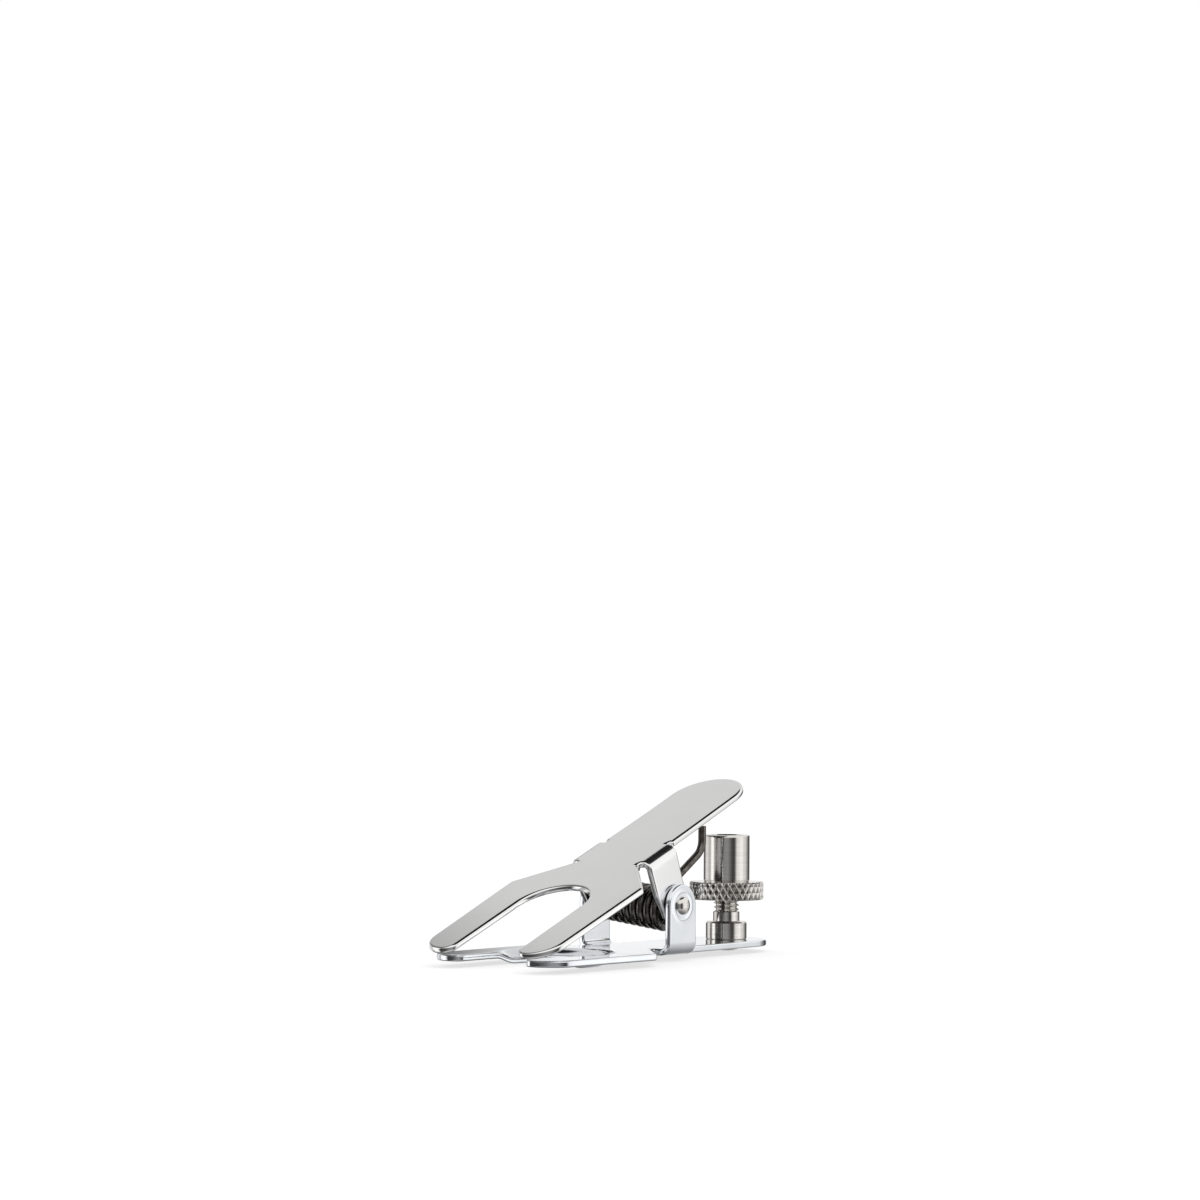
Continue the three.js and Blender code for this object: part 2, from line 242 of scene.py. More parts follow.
def make_camera():
    back = Vector((
        math.sin(CAMERA_AZIMUTH) * math.cos(CAMERA_ELEVATION),
        -math.cos(CAMERA_AZIMUTH) * math.cos(CAMERA_ELEVATION),
        math.sin(CAMERA_ELEVATION),
    ))
    right = Vector((math.cos(CAMERA_AZIMUTH), math.sin(CAMERA_AZIMUTH), 0))
    level = Matrix((right, back.cross(right), back))
    aim = Vector((0, 0, -1)).rotation_difference(TARGET_OFFSET.normalized()).to_matrix()
    turn = aim @ Matrix.Rotation(CAMERA_ROLL, 3, "Z") @ level
    data = bpy.data.cameras.new("camera")
    data.sensor_width = SENSOR
    data.lens = LENS
    camera = bpy.data.objects.new("camera", data)
    place = Matrix.Translation(CAMERA_TARGET + back * CAMERA_DISTANCE)
    camera.matrix_world = place @ turn.transposed().to_4x4()
    bpy.context.scene.collection.objects.link(camera)
    bpy.context.scene.camera = camera


def make_mesh(name, vertices, faces):
    mesh = bpy.data.meshes.new(name)
    mesh.from_pydata([Vector(vertex) * MM for vertex in vertices], [], faces)
    mesh.validate()
    mesh.shade_smooth()
    piece = bpy.data.objects.new(name, mesh)
    bpy.context.scene.collection.objects.link(piece)
    return piece


# ---- Outlines ----

def rounded_outline(corners):
    """Corners are (x, y, radius); each one with a radius is rounded by an arc."""
    points = []
    for index, (x, y, radius) in enumerate(corners):
        corner = Vector((x, y))
        if not radius:
            points.append(corner)
            continue
        back = (Vector(corners[index - 1][:2]) - corner).normalized()
        ahead = (Vector(corners[(index + 1) % len(corners)][:2]) - corner).normalized()
        half = back.angle(ahead) / 2
        centre = corner + (back + ahead).normalized() * (radius / math.sin(half))
        start = corner + back * (radius / math.tan(half)) - centre
        turn = math.copysign(math.pi - 2 * half, ahead.cross(back))
        steps = max(MIN_ARC_STEPS, math.ceil(abs(turn) / ARC_STEP))
        for step in range(steps + 1):
            points.append(centre + Matrix.Rotation(turn * step / steps, 2) @ start)
    return [p for i, p in enumerate(points) if (p - points[i - 1]).length > CAP_MARGIN]


def even_steps(points, step):
    """The same closed outline with its long edges divided."""
    result = []
    for index, point in enumerate(points):
        following = points[(index + 1) % len(points)]
        count = max(1, math.ceil((following - point).length / step))
        result += [point.lerp(following, part / count) for part in range(count)]
    return result


def circle(centre, radius, count):
    """A clockwise circle: the edge of a hole."""
    turns = [-2 * math.pi * step / count for step in range(count)]
    return [centre + radius * Vector((math.cos(turn), math.sin(turn))) for turn in turns]


def signed_area(points):
    return sum(points[i - 1].cross(point) for i, point in enumerate(points)) / 2


def inward_normals(points):
    """At each point, the direction into the material, long enough to keep the edges parallel."""
    normals = []
    for index, point in enumerate(points):
        before = (point - points[index - 1]).normalized()
        after = (points[(index + 1) % len(points)] - point).normalized()
        left = Vector((-before.y, before.x)) + Vector((-after.y, after.x))
        left.normalize()
        normals.append(left / max(SHORTEST_MITRE, left.dot(Vector((-after.y, after.x)))))
    return normals


def inside(points, loop):
    """Which of the points lie inside a closed loop."""
    x, y = points[:, 0], points[:, 1]
    result = np.zeros(len(points), bool)
    for index, end in enumerate(loop):
        start = loop[index - 1]
        if start.y == end.y:
            continue
        crosses = (start.y > y) != (end.y > y)
        meets = start.x + (y - start.y) * (end.x - start.x) / (end.y - start.y)
        result ^= crosses & (x < meets)
    return result


# ---- Sheet metal ----

def bend_arc(jaw):
    return (jaw["ear_bend"] - jaw["sheet"] / 2) * math.pi / 2


def pin_centre(jaw, side):
    """Where the pin's hole is in the flat blank."""
    flat = jaw["ear_face"] - jaw["ear_bend"] + bend_arc(jaw)
    return Vector((0, side * (flat + jaw["pin_height"] - jaw["ear_bend"])))


def fold(jaw, x, y, depth):
    """Bends a point of the blank: depth is from the outer face. Returns y and the new depth."""
    side = math.copysign(1, y)
    start = jaw["ear_face"] - jaw["ear_bend"]
    past = abs(y) - start
    on_ear = jaw["ear_front"] - CAP_STEP < x < jaw["ear_rear"] + CAP_STEP
    if past <= 0 or not on_ear:
        return y, depth
    arc = bend_arc(jaw)
    radius = jaw["ear_bend"] - depth
    if past < arc:
        angle = past / arc * math.pi / 2
        return side * (start + radius * math.sin(angle)), jaw["ear_bend"] - radius * math.cos(angle)
    return side * (jaw["ear_face"] - depth), jaw["ear_bend"] + past - arc


def blank_outline(jaw):
    pin = pin_centre(jaw, 1).y
    radius = jaw["ear_radius"]
    front, rear = jaw["ear_front"], jaw["ear_rear"]
    half = [
        (SLOT_CENTRE + SLOT_RADIUS, SLOT_RADIUS, SLOT_RADIUS),
        (jaw["tip"], SLOT_RADIUS, TIP_INNER_RADIUS),
        (jaw["tip"], PRONG_END_HALF_WIDTH, TIP_OUTER_RADIUS),
        (jaw["shoulder"], SHOULDER_HALF_WIDTH, SHOULDER_CORNER),
        (jaw["neck"], NECK_HALF_WIDTH, 0),
        (front - RELIEF_WIDTH, NECK_HALF_WIDTH, 0),
        (front - RELIEF_WIDTH, RELIEF_EDGE, RELIEF_CORNER),
        (front, RELIEF_EDGE, RELIEF_CORNER),
        (front, pin - radius, 0),
        (-radius, pin, 0),
        (-radius, pin + radius, radius),
        (radius, pin + radius, radius),
        (radius, pin, 0),
        (rear, pin - radius, 0),
        (rear, RELIEF_EDGE, RELIEF_CORNER),
        (rear + RELIEF_WIDTH, RELIEF_EDGE, RELIEF_CORNER),
        (rear + RELIEF_WIDTH, NECK_HALF_WIDTH, 0),
        (jaw["tail_centre"] - TAIL_HALF_WIDTH, TAIL_HALF_WIDTH, 0),
        (jaw["tail_centre"] + TAIL_HALF_WIDTH, TAIL_HALF_WIDTH, TAIL_HALF_WIDTH),
    ]
    mirrored = [(x, -y, radius) for x, y, radius in reversed(half)]
    points = even_steps(rounded_outline(half + mirrored), CAP_STEP)
    return points if signed_area(points) > 0 else points[::-1]


def edge_profile(jaw):
    """Steps in from the edge and depth, from the outer face round to the inner one."""
    sheet = jaw["sheet"]
    outer, inner = jaw["outer_rounding"], jaw["inner_rounding"]
    cap = max(outer, inner) + CAP_MARGIN
    profile = [(cap, 0)]
    for step in range(ROUNDING_STEPS + 1):
        angle = math.pi / 2 * step / ROUNDING_STEPS
        profile.append((outer * (1 - math.sin(angle)), outer * (1 - math.cos(angle))))
    for step in range(ROUNDING_STEPS + 1):
        angle = math.pi / 2 * step / ROUNDING_STEPS
        profile.append((inner * (1 - math.cos(angle)), sheet - inner * (1 - math.sin(angle))))
    profile.append((cap, sheet))
    return profile


def cap_points(jaw, cap_loops):
    """Points spread over the blank's face, with rings of them round each pin."""
    grid = []
    for row in range(-CAP_REACH, CAP_REACH):
        shift = CAP_STEP / 2 * (row % 2)
        grid += [(column * CAP_STEP + shift, row * CAP_STEP) for column in range(-CAP_REACH, CAP_REACH)]
    spread = np.array(grid)
    pins = [np.array(pin_centre(jaw, side)) for side in (-1, 1)]
    turns = np.linspace(0, 2 * math.pi, PIN_RING_POINTS, endpoint=False)
    last_ring = STAMP_RADIUS + STAMP_WIDTH + PIN_RING_MARGIN
    for pin in pins:
        spread = spread[np.hypot(*(spread - pin).T) > STAMP_RADIUS + CAP_STEP]
        for ring in np.arange(PIN_HOLE_RADIUS + PIN_RING_START, last_ring, PIN_RING_STEP):
            spread = np.vstack([spread, pin + ring * np.column_stack([np.cos(turns), np.sin(turns)])])
    kept = inside(spread, cap_loops[0])
    for loop in cap_loops[1:]:
        kept &= ~inside(spread, loop)
    spread = spread[kept]
    edge = np.array([point for loop in cap_loops for point in loop])
    clear = [np.hypot(*(edge - point).T).min() > CAP_CLEARANCE for point in spread]
    return [Vector(point) for point in spread[clear]]


def sheet_walls(loops, profile):
    """The rounded edges. Each cap ring is its first vertex on either face and its length."""
    vertices, faces, caps = [], [], []
    for loop in loops:
        normals = inward_normals(loop)
        first = len(vertices)
        for step_in, depth in profile:
            vertices += [(*(p + n * step_in), depth) for p, n in zip(loop, normals)]
        count = len(loop)
        for ring in range(len(profile) - 1):
            for index in range(count):
                after = (index + 1) % count
                low = first + ring * count
                faces.append((low + index, low + after, low + count + after, low + count + index))
        caps.append((first, first + (len(profile) - 1) * count, count))
    return vertices, faces, caps


def cap_triangles(cap_loops, spread):
    """Corners of the triangles that fill the blank's face, numbered as its loops' points and then spread."""
    flat = [point for loop in cap_loops for point in loop] + spread
    edges, offset = [], 0
    for loop in cap_loops:
        edges += [(offset + i, offset + (i + 1) % len(loop)) for i in range(len(loop))]
        offset += len(loop)
    points, _, triangles, sources, _, _ = delaunay_2d_cdt(flat, edges, [], 0, CAP_MERGE)
    middles = np.array([sum((points[i] for i in t), Vector((0, 0))) / 3 for t in triangles])
    kept = inside(middles, cap_loops[0])
    for loop in cap_loops[1:]:
        kept &= ~inside(middles, loop)
    result = []
    for triangle, keep in zip(triangles, kept):
        if keep and abs(signed_area([points[i] for i in triangle])) > SLIVER_AREA:
            result.append([sources[i][0] for i in triangle])
    return result


def sheet_piece(name, jaw, holes, shape):
    """A blank with rounded edges, its points moved by shape(x, y, depth)."""
    vertices, faces, caps = sheet_walls([blank_outline(jaw)] + holes, edge_profile(jaw))
    cap_loops = [[Vector(vertices[first + i][:2]) for i in range(count)] for first, last, count in caps]
    spread = cap_points(jaw, cap_loops)
    outer = [first + i for first, last, count in caps for i in range(count)]
    inner = [last + i for first, last, count in caps for i in range(count)]
    outer += range(len(vertices), len(vertices) + len(spread))
    vertices += [(*point, 0) for point in spread]
    inner += range(len(vertices), len(vertices) + len(spread))
    vertices += [(*point, jaw["sheet"]) for point in spread]
    for corners in cap_triangles(cap_loops, spread):
        faces.append([outer[i] for i in reversed(corners)])
        faces.append([inner[i] for i in corners])
    edge_mark = [0.0] * len(vertices)
    for first, last, count in caps:
        for index in range(first + 2 * count, last - count):
            edge_mark[index] = 1.0
    piece = make_mesh(name, [shape(*vertex) for vertex in vertices], faces)
    mark = piece.data.attributes.new("edge", "FLOAT", "POINT")
    mark.data.foreach_set("value", edge_mark)
    return piece


def smooth(value):
    value = min(1, max(0, value))
    return value * value * (3 - 2 * value)


def stamp(jaw, x, y, depth):
    """How far the ring stamped round each pin stands out of the outer face."""
    from_pin = (Vector((x, abs(y))) - pin_centre(jaw, 1)).length
    ridge = smooth(1 - abs(from_pin - STAMP_RADIUS) / STAMP_WIDTH)
    return STAMP_HEIGHT * ridge * (1 - depth / jaw["sheet"])


def lower_shape(x, y, depth):
    dish = smooth((SEAT_OUTER - math.hypot(x - SLOT_CENTRE, y)) / (SEAT_OUTER - SEAT_INNER))
    depth -= stamp(LOWER, x, y, depth)
    y, height = fold(LOWER, x, y, depth)
    return x, y, height - SEAT_DEPTH * dish


def upper_shape(x, y, depth):
    curl = max(0, x - HANDLE_CURL_START) / HANDLE_CURL_LENGTH
    y, down = fold(UPPER, x, y, depth)
    height = UPPER["pin_height"] - down + HANDLE_CURL * curl * curl
    return (
        HINGE.x + x * math.cos(PITCH) - height * math.sin(PITCH),
        y,
        HINGE.z + x * math.sin(PITCH) + height * math.cos(PITCH),
    )


def pin_holes(jaw):
    return [circle(pin_centre(jaw, side), PIN_HOLE_RADIUS, HOLE_SEGMENTS) for side in (-1, 1)]


def make_jaws():
    stud_hole = circle(Vector((LOWER["tail_centre"], 0)), STUD_HOLE_RADIUS, HOLE_SEGMENTS)
    lower = sheet_piece("lower_jaw_sheet", LOWER, pin_holes(LOWER) + [stud_hole], lower_shape)
    upper = sheet_piece("upper_jaw_sheet", UPPER, pin_holes(UPPER), upper_shape)
    upper.data.flip_normals()
    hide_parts("lower_jaw")
    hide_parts("upper_jaw")
    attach(lower, "lower_jaw")
    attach(upper, "upper_jaw")
    return lower, upper


# ---- Turned parts ----

def turned_piece(name, rows, centre):
    """Rows are radius and height, and a radius may be a function of the turn. A profile that doesn't
    close on itself gets a flat face at each end."""
    vertices, faces = [], []
    plain = all(not callable(radius) for radius, _ in rows)
    count = LATHE_SEGMENTS if plain else KNURL_COUNT * KNURL_SAMPLES
    for radius, height in rows:
        for index in range(count):
            turn = 2 * math.pi * index / count
            reach = radius(turn) if callable(radius) else radius
            vertices.append((reach * math.cos(turn), reach * math.sin(turn), height))
    closed = rows[0] == rows[-1]
    for row in range(len(rows) - 1):
        for index in range(count):
            after = (index + 1) % count
            low, high = row * count, (row + 1) * count
            if closed and row == len(rows) - 2:
                high = 0
            faces.append((low + index, low + after, high + after, high + index))
    if closed:
        vertices = vertices[:-count]
    else:
        faces.append(range(count - 1, -1, -1))
        faces.append(range(len(vertices) - count, len(vertices)))
    return make_mesh(name, [Vector(vertex) + centre for vertex in vertices], faces)


def crisp(piece, degrees=CRISP_ANGLE):
    """Flat faces stay flat: edges sharper than this aren't smoothed over."""
    piece.data.set_sharp_from_angle(angle=math.radians(degrees))
    return piece


def dome(radius, height, base):
    """Rows of a rivet's domed head from its rim to its crown."""
    turns = [math.pi / 2 * step / DOME_STEPS for step in range(DOME_STEPS)]
    rows = [(radius * math.cos(turn), base + height * math.sin(turn)) for turn in turns]
    return rows + [(AXIS_RADIUS, base + height)]


def make_hinge_pin():
    seat = LOWER["ear_face"] + SEAT_PLAY
    end = [(PIN_RADIUS, seat)] + dome(PIN_HEAD_RADIUS, PIN_HEAD_HEIGHT, seat)
    rows = [(radius, -height) for radius, height in reversed(end)] + end
    pin = turned_piece("hinge_rivet", rows, Vector((0, 0, 0)))
    pin.data.transform(Matrix.Translation(HINGE * MM) @ Matrix.Rotation(-math.pi / 2, 4, "X"))
    crisp(pin, PIN_CRISP_ANGLE)
    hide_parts("hinge_pin")
    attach(pin, "lower_jaw")
    return pin


def thread_radius(turn, height):
    phase = (height / THREAD_PITCH - turn / (2 * math.pi)) % 1
    flank = min(1, max(0, abs(2 * phase - 1) * THREAD_SLOPE - THREAD_CREST))
    return THREAD_MAJOR + (THREAD_MINOR - THREAD_MAJOR) * flank


def axis_of(node):
    low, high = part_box(node)
    return Vector(((low.x + high.x) / 2 / MM, 0, 0))


def make_stud():
    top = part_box("lock_stud")[1].z / MM
    sheet = LOWER["sheet"]
    rows = [(radius, -height) for radius, height in reversed(dome(RIVET_RADIUS, RIVET_HEIGHT, SEAT_PLAY))]
    rows += [
        (SHANK_RADIUS, -SEAT_PLAY),
        (SHANK_RADIUS, sheet),
        (COLLAR_RADIUS - CHAMFER / 2, sheet + SEAT_PLAY),
        (COLLAR_RADIUS, sheet + CHAMFER / 2),
        (COLLAR_RADIUS, COLLAR_TOP - CHAMFER),
        (COLLAR_RADIUS - CHAMFER, COLLAR_TOP),
        (NECK_RADIUS + NECK_FILLET, COLLAR_TOP),
        (NECK_RADIUS, COLLAR_TOP + NECK_FILLET),
        (NECK_RADIUS, NECK_TOP - NECK_FILLET),
        (NECK_RADIUS - NECK_FILLET, NECK_TOP),
    ]
    count = round((top - NECK_TOP) / THREAD_PITCH * THREAD_ROWS_PER_TURN)
    for step in range(count + 1):
        height = NECK_TOP + (top - NECK_TOP) * step / count
        rows.append((lambda turn, height=height: thread_radius(turn, height), height))
    rows.append((THREAD_MINOR - CHAMFER, top))
    stud = crisp(turned_piece("lock_stud_turned", rows, axis_of("lock_stud")))
    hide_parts("lock_stud")
    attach(stud, "lower_jaw")
    return stud


def make_nut_barrel():
    low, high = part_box("thumb_nut_barrel")
    bottom, top = low.z / MM, high.z / MM
    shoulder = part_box("thumb_nut_knurled_ring")[1].z / MM + SHOULDER_PLAY
    rows = [
        (BORE_RADIUS, bottom),
        (SLEEVE_RADIUS, bottom),
        (SLEEVE_RADIUS, shoulder),
        (BARREL_RADIUS - BARREL_STEP, shoulder),
        (BARREL_RADIUS - BARREL_STEP, shoulder + BARREL_STEP_HEIGHT),
        (BARREL_RADIUS, shoulder + BARREL_STEP_TOP),
        (BARREL_RADIUS, top - 2 * CHAMFER),
        (BARREL_RADIUS, top - CHAMFER),
        (BARREL_RADIUS - CHAMFER_BREAK_IN, top - CHAMFER_BREAK_DOWN),
        (BARREL_RADIUS - CHAMFER, top),
        (BORE_RADIUS + 2 * CHAMFER, top),
        (BORE_RADIUS, top - 2 * CHAMFER),
        (BORE_RADIUS, bottom),
    ]
    barrel = crisp(turned_piece("thumb_nut_barrel_turned", rows, axis_of("thumb_nut_barrel")))
    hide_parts("thumb_nut_barrel")
    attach(barrel, "thumb_nut")
    return barrel


def knurl_radius(rim, height):
    """Two crossing sets of ridges with pits between them."""
    def at(turn):
        around = KNURL_COUNT * turn / (2 * math.pi)
        ridges = [abs(2 * ((around + lean * KNURL_LEAN * height) % 1) - 1) for lean in (-1, 1)]
        return rim - KNURL_DEPTH * (1 - max(ridges))
    return at


def make_nut_ring():
    low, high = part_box("thumb_nut_knurled_ring")
    bottom, top = low.z / MM, high.z / MM
    rim = (high.x - low.x) / 2 / MM + KNURL_STAND
    inner = SLEEVE_RADIUS + RING_PLAY
    rows = [(inner, bottom), (rim - RING_FACE_WIDTH, bottom)]
    for step in range(KNURL_ROWS + 1):
        height = bottom + (top - bottom) * step / KNURL_ROWS
        from_edge = min(height - bottom, top - height)
        ease = max(0, RING_EASE - from_edge)
        rows.append((knurl_radius(rim - ease, height), height))
    rows += [(rim - RING_FACE_WIDTH, top), (inner, top), (inner, bottom)]
    axis = axis_of("thumb_nut_knurled_ring")
    ring = crisp(turned_piece("thumb_nut_ring_knurled", rows, axis), RING_CRISP_ANGLE)
    centre = axis * MM
    depths = [rim - math.hypot(vertex.co.x - centre.x, vertex.co.y) / MM for vertex in ring.data.vertices]
    # Painted shade: this mask darkens the knurl's pits in the base colour, more so the deeper they are,
    # where shade falls
    groove_shade = ring.data.attributes.new("groove_shade", "FLOAT", "POINT")
    values = [smooth(depth / KNURL_DEPTH - PIT_SHADE_START) * (depth < PIT_SHADE_REACH) for depth in depths]
    groove_shade.data.foreach_set("value", values)
    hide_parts("thumb_nut_knurled_ring")
    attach(ring, "thumb_nut_ring")
    return ring


# ---- Torsion spring ----

def touch_angle(elbow, side):
    """Where a straight leg from the elbow touches the coil."""
    height = elbow.z - COIL_CENTRE_HEIGHT - COIL_TILT * elbow.y
    distance = math.hypot(elbow.x, height)
    return math.atan2(height, elbow.x) + side * math.acos(COIL_RADIUS / distance)


def leg(end, elbow, touch):
    """From the leg's end round its elbow towards the coil."""
    start = elbow + (end - elbow).normalized() * ELBOW_RADIUS
    finish = elbow + (touch - elbow).normalized() * ELBOW_RADIUS
    points = [end]
    for step in range(ELBOW_STEPS + 1):
        part = step / ELBOW_STEPS
        points.append(start.lerp(elbow, part).lerp(elbow.lerp(finish, part), part))
    points.append(finish.lerp(touch, 0.5))
    return points


def make_spring():
    start = touch_angle(TAIL_ELBOW, -1)
    finish = touch_angle(HANDLE_ELBOW, 1)
    sweep = start - finish + 2 * math.pi * (COIL_TURNS + 1)
    steps = round(sweep / (2 * math.pi) * TURN_STEPS)
    coil = []
    for step in range(steps + 1):
        angle = start - sweep * step / steps
        y = COIL_HALF_LENGTH * (1 - 2 * step / steps)
        height = COIL_CENTRE_HEIGHT + COIL_TILT * y + COIL_RADIUS * math.sin(angle)
        coil.append(Vector((COIL_RADIUS * math.cos(angle), y, height)))
    tail_end = Vector((TAIL_ELBOW.x, TAIL_ELBOW.y, LOWER["sheet"] + LEG_PLAY))
    underside = UPPER["pin_height"] - UPPER["sheet"]
    under = HINGE.z + underside / math.cos(PITCH) + (HANDLE_ELBOW.x - WIRE_RADIUS) * math.tan(PITCH)
    handle_end = Vector((HANDLE_ELBOW.x, HANDLE_ELBOW.y, under - LEG_PLAY))
    route = leg(tail_end, TAIL_ELBOW, coil[0]) + coil
    route += reversed(leg(handle_end, HANDLE_ELBOW, coil[-1]))
    curve = bpy.data.curves.new("spring_route", "CURVE")
    curve.dimensions = "3D"
    curve.bevel_depth = WIRE_RADIUS * MM
    curve.bevel_resolution = WIRE_SIDES // 4 + 1
    curve.use_fill_caps = True
    spline = curve.splines.new("POLY")
    spline.points.add(len(route) - 1)
    for point, place in zip(spline.points, route):
        point.co = (*(place * MM), 1)
    holder = bpy.data.objects.new("spring_route", curve)
    bpy.context.scene.collection.objects.link(holder)
    bpy.context.view_layer.update()
    evaluated = holder.evaluated_get(bpy.context.evaluated_depsgraph_get())
    mesh = bpy.data.meshes.new_from_object(evaluated)
    bpy.data.objects.remove(holder)
    mesh.shade_smooth()
    spring = bpy.data.objects.new("torsion_spring_wire", mesh)
    bpy.context.scene.collection.objects.link(spring)
    crisp(spring, WIRE_CRISP_ANGLE)
    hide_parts("torsion_spring")
    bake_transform(spring)
    return spring


# ---- Materials ----

class Metal:
    """A metal whose colour and bump come from fine noise, and its roughness from broad noise."""

    def __init__(self, name, dark, light, roughness, streaks, streak_depth, pitch=0.0):
        self.material = bpy.data.materials.new(name)
        self.material.use_nodes = True
        self.tree = self.material.node_tree
        self.shader = self.tree.nodes["Principled BSDF"]
        self.shader.inputs["Metallic"].default_value = 1
        self.place = self.node("ShaderNodeTexCoord").outputs["Object"]
        self.pitch = pitch
        fine = self.noise(streaks, FINE_DETAIL)
        broad = self.noise(BROAD_SCALE, BROAD_DETAIL)
        self.colour = self.ramp(fine, (*dark, 1), (*light, 1))
        self.link(self.colour, self.shader.inputs["Base Color"])
        self.rough = self.ranged(broad, *roughness)
        self.link(self.rough, self.shader.inputs["Roughness"])
        self.bump(fine, streak_depth)

    def node(self, kind):
        return self.tree.nodes.new(kind)

    def link(self, source, target):
        self.tree.links.new(source, target)

    def noise(self, scale, detail):
        mapping = self.node("ShaderNodeMapping")
        mapping.inputs["Rotation"].default_value = (0, self.pitch, 0)
        mapping.inputs["Scale"].default_value = scale
        self.link(self.place, mapping.inputs["Vector"])
        noise = self.node("ShaderNodeTexNoise")
        noise.inputs["Scale"].default_value = 1
        noise.inputs["Detail"].default_value = detail
        self.link(mapping.outputs["Vector"], noise.inputs["Vector"])
        return noise.outputs["Fac"]

    def ramp(self, source, low, high):
        ramp = self.node("ShaderNodeValToRGB")
        ramp.color_ramp.elements[0].position = NOISE_LOW
        ramp.color_ramp.elements[1].position = NOISE_HIGH
        ramp.color_ramp.elements[0].color = low
        ramp.color_ramp.elements[1].color = high
        self.link(source, ramp.inputs["Fac"])
        return ramp.outputs["Color"]

    def ranged(self, source, low, high):
        spread = self.node("ShaderNodeMapRange")
        spread.inputs["From Min"].default_value = NOISE_LOW
        spread.inputs["From Max"].default_value = NOISE_HIGH
        spread.inputs["To Min"].default_value = low
        spread.inputs["To Max"].default_value = high
        self.link(source, spread.inputs["Value"])
        return spread.outputs["Result"]

    def bump(self, source, depth):
        bump = self.node("ShaderNodeBump")
        bump.inputs["Strength"].default_value = 1
        bump.inputs["Distance"].default_value = depth
        self.link(source, bump.inputs["Height"])
        self.link(bump.outputs["Normal"], self.shader.inputs["Normal"])

    def polish_edges(self, roughness):
        """The sheet's rounded edges are smoother than its faces."""
        edge = self.node("ShaderNodeAttribute")
        edge.attribute_name = "edge"
        mix = self.node("ShaderNodeMix")
        self.link(edge.outputs["Fac"], mix.inputs["Factor"])
        self.link(self.rough, mix.inputs["A"])
        mix.inputs["B"].default_value = roughness
        self.link(mix.outputs["Result"], self.shader.inputs["Roughness"])

    def paint_groove_shade(self, colour):
        """Painted shade: the knurl's pits are darkened towards the given colour, in place of the shade that
        falls in them.
        """
        groove_shade = self.node("ShaderNodeAttribute")
        groove_shade.attribute_name = "groove_shade"
        mix = self.node("ShaderNodeMix")
        mix.data_type = "RGBA"
        self.link(groove_shade.outputs["Fac"], mix.inputs["Factor"])
        self.link(self.colour, mix.inputs[COLOUR_A])
        mix.inputs[COLOUR_B].default_value = (*colour, 1)
        self.link(mix.outputs[COLOUR_RESULT], self.shader.inputs["Base Color"])

    def cover(self, piece):
        piece.data.materials.clear()
        piece.data.materials.append(self.material)


# ---- Stage ----

def make_floor(low):
    reach = FLOOR_REACH
    corners = [(-reach, -reach, low), (reach, -reach, low), (reach, reach, low), (-reach, reach, low)]
    floor = make_mesh("floor", [Vector(corner) / MM for corner in corners], [(0, 1, 2, 3)])
    paper = bpy.data.materials.new("pale_paper")
    paper.use_nodes = True
    shader = paper.node_tree.nodes["Principled BSDF"]
    shader.inputs["Base Color"].default_value = (FLOOR_GREY, FLOOR_GREY, FLOOR_GREY, 1)
    shader.inputs["Roughness"].default_value = FLOOR_ROUGHNESS
    shader.inputs["Specular IOR Level"].default_value = 0
    shader.inputs["Emission Color"].default_value = (1, 1, 1, 1)
    shader.inputs["Emission Strength"].default_value = FLOOR_GLOW
    floor.data.materials.append(paper)
    floor.visible_glossy = False


def fill_ramp(node, stops):
    """Stops are a place from 0 to 1 and a grey value."""
    elements = node.color_ramp.elements
    elements.remove(elements[1])
    elements[0].position = stops[0][0]
    elements[0].color = (*[stops[0][1]] * 3, 1)
    for position, value in stops[1:]:
        elements.new(position).color = (value, value, value, 1)


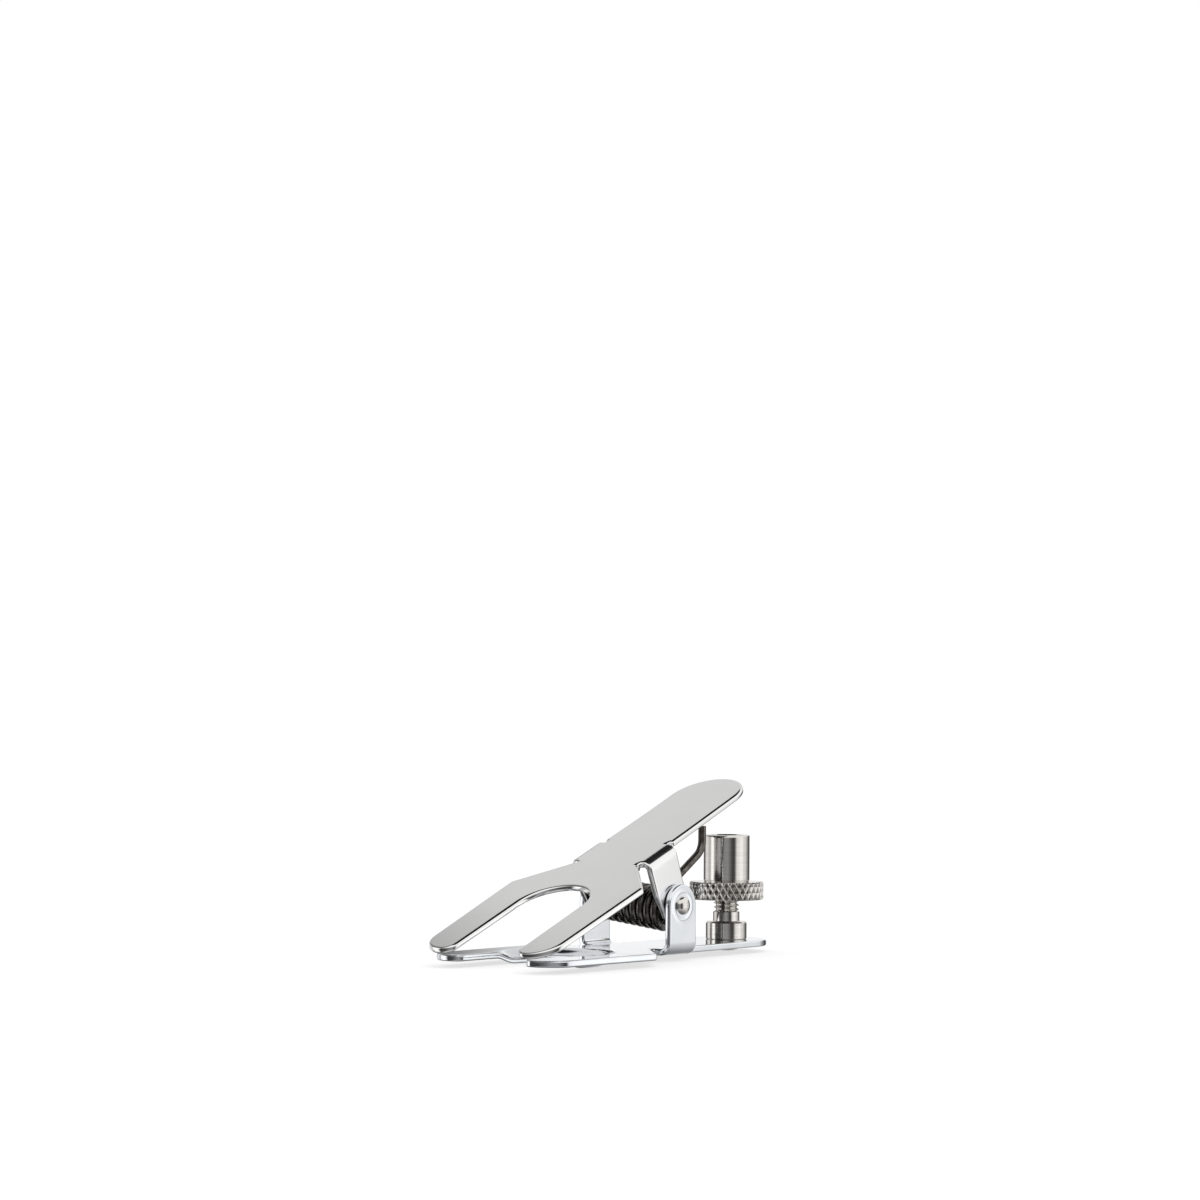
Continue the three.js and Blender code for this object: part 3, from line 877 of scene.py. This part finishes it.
def tent_material():
    """Brightness by height times brightness by direction, as cards round a tent give."""
    tent = bpy.data.materials.new("light_tent")
    tent.use_nodes = True
    tree = tent.node_tree
    tree.nodes.clear()

    def node(kind, **inputs):
        made = tree.nodes.new(kind)
        for name, value in inputs.items():
            if isinstance(value, bpy.types.NodeSocket):
                tree.links.new(value, made.inputs[name])
            else:
                made.inputs[name].default_value = value
        return made

    place = node("ShaderNodeTexCoord").outputs["Object"]
    unit = node("ShaderNodeVectorMath")
    unit.operation = "NORMALIZE"
    tree.links.new(place, unit.inputs[0])
    split = node("ShaderNodeSeparateXYZ", Vector=unit.outputs["Vector"])
    rise = node("ShaderNodeMapRange", Value=split.outputs["Z"])
    rise.inputs["From Min"].default_value = -1
    by_height = node("ShaderNodeValToRGB", Fac=rise.outputs["Result"])
    fill_ramp(by_height, [((height + 1) / 2, value) for height, value in TENT_HEIGHTS])
    angle = node("ShaderNodeMath")
    angle.operation = "ARCTAN2"
    tree.links.new(split.outputs["Y"], angle.inputs[0])
    tree.links.new(split.outputs["X"], angle.inputs[1])
    turn = node("ShaderNodeMapRange", Value=angle.outputs["Value"])
    turn.inputs["From Min"].default_value = -math.pi
    turn.inputs["From Max"].default_value = math.pi
    by_turn = node("ShaderNodeValToRGB", Fac=turn.outputs["Result"])
    fill_ramp(by_turn, TENT_TURNS)
    from_level = node("ShaderNodeMath")
    from_level.operation = "ABSOLUTE"
    tree.links.new(split.outputs["Z"], from_level.inputs[0])
    card = node("ShaderNodeMapRange", Value=from_level.outputs["Value"])
    card.inputs["From Min"].default_value = CARD_TOP + CARD_FADE
    card.inputs["From Max"].default_value = CARD_TOP
    high_up = node("ShaderNodeValToRGB", Fac=turn.outputs["Result"])
    fill_ramp(high_up, TENT_SIDES)
    around = node("ShaderNodeMix")
    around.data_type = "RGBA"
    tree.links.new(card.outputs["Result"], around.inputs["Factor"])
    tree.links.new(high_up.outputs["Color"], around.inputs[COLOUR_A])
    tree.links.new(by_turn.outputs["Color"], around.inputs[COLOUR_B])
    both = node("ShaderNodeMix", Factor=1)
    both.data_type = "RGBA"
    both.blend_type = "MULTIPLY"
    tree.links.new(by_height.outputs["Color"], both.inputs[COLOUR_A])
    tree.links.new(around.outputs[COLOUR_RESULT], both.inputs[COLOUR_B])
    glow = node("ShaderNodeEmission", Color=both.outputs[COLOUR_RESULT], Strength=TENT_STRENGTH)
    output = node("ShaderNodeOutputMaterial")
    tree.links.new(glow.outputs["Emission"], output.inputs["Surface"])
    return tent


def make_tent(low):
    """A ball round the clamp that only reflections see, so it hides nothing and casts no shadow."""
    across, up = TENT_SECTORS, TENT_RINGS
    vertices, faces = [], []
    for row in range(up + 1):
        height = math.pi * (row / up - 0.5)
        for index in range(across):
            turn = 2 * math.pi * index / across
            flat = TENT_RADIUS * max(math.cos(height), POLE_WIDTH)
            rise = TENT_RADIUS * math.sin(height)
            vertices.append((flat * math.cos(turn), flat * math.sin(turn), rise))
    for row in range(up):
        for index in range(across):
            after = (index + 1) % across
            first, second = row * across, (row + 1) * across
            faces.append((first + index, first + after, second + after, second + index))
    tent = make_mesh("light_tent", [Vector(vertex) / MM for vertex in vertices], faces)
    stud = axis_of("lock_stud") * MM
    tent.location = (stud.x, stud.y, low)
    tent.visible_camera = False
    tent.visible_diffuse = False
    tent.visible_shadow = False
    tent.data.materials.append(tent_material())


def make_light():
    data = bpy.data.lights.new("overhead", "AREA")
    data.size = OVERHEAD_SIZE
    data.energy = OVERHEAD_WATTS
    light = bpy.data.objects.new("overhead", data)
    light.location = OVERHEAD_PLACE
    light.rotation_euler = (Vector((0, 0, 0)) - light.location).to_track_quat("-Z", "Y").to_euler()
    light.visible_glossy = False
    bpy.context.scene.collection.objects.link(light)
    world = bpy.data.worlds.new("studio")
    world.use_nodes = True
    shader = world.node_tree.nodes["Background"]
    shader.inputs["Color"].default_value = (1, 1, 1, 1)
    shader.inputs["Strength"].default_value = 1
    bpy.context.scene.world = world


def cover_jaws(lower, upper):
    plated = Metal(
        "plated_steel", (0.8, 0.825, 0.86), (0.885, 0.905, 0.93),
        roughness=(0.07, 0.13), streaks=(150, 150, 150), streak_depth=0.00001,
    )
    plated.polish_edges(0.08)
    plated.cover(lower)
    satin = Metal(
        "satin_steel", (0.87, 0.865, 0.86), (0.9, 0.897, 0.893),
        roughness=(0.16, 0.2), streaks=(300, 5000, 5000), streak_depth=0.0000006, pitch=PITCH,
    )
    satin.polish_edges(0.07)
    satin.cover(upper)


def cover_turned_parts(plain_pieces, ring):
    turned = Metal(
        "turned_steel", (0.68, 0.65, 0.615), (0.82, 0.8, 0.77),
        roughness=(0.1, 0.14), streaks=(150, 150, 6000), streak_depth=0.0000003,
    )
    for piece in plain_pieces:
        turned.cover(piece)
    knurled = Metal(
        "knurled_steel", (0.64, 0.61, 0.575), (0.8, 0.78, 0.75),
        roughness=(0.12, 0.2), streaks=(900, 900, 900), streak_depth=0.000002,
    )
    # Painted shade: the knurl's pits are darkened to this colour in place of the shade that falls in them
    knurled.paint_groove_shade((0.16, 0.14, 0.12))
    knurled.cover(ring)


def cover_spring(spring):
    wire = Metal(
        "spring_steel", (0.08, 0.073, 0.066), (0.19, 0.173, 0.156),
        roughness=(0.18, 0.28), streaks=(900, 3000, 900), streak_depth=0.000002,
    )
    wire.cover(spring)


def main():
    make_camera()
    bpy.context.scene.view_settings.view_transform = "Standard"
    bpy.context.scene.cycles.caustics_reflective = False
    lower, upper = make_jaws()
    pin = make_hinge_pin()
    stud = make_stud()
    barrel = make_nut_barrel()
    ring = make_nut_ring()
    spring = make_spring()
    cover_jaws(lower, upper)
    cover_turned_parts((pin, stud, barrel), ring)
    cover_spring(spring)
    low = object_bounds()[0][2]
    make_floor(low)
    make_tent(low)
    make_light()


main()
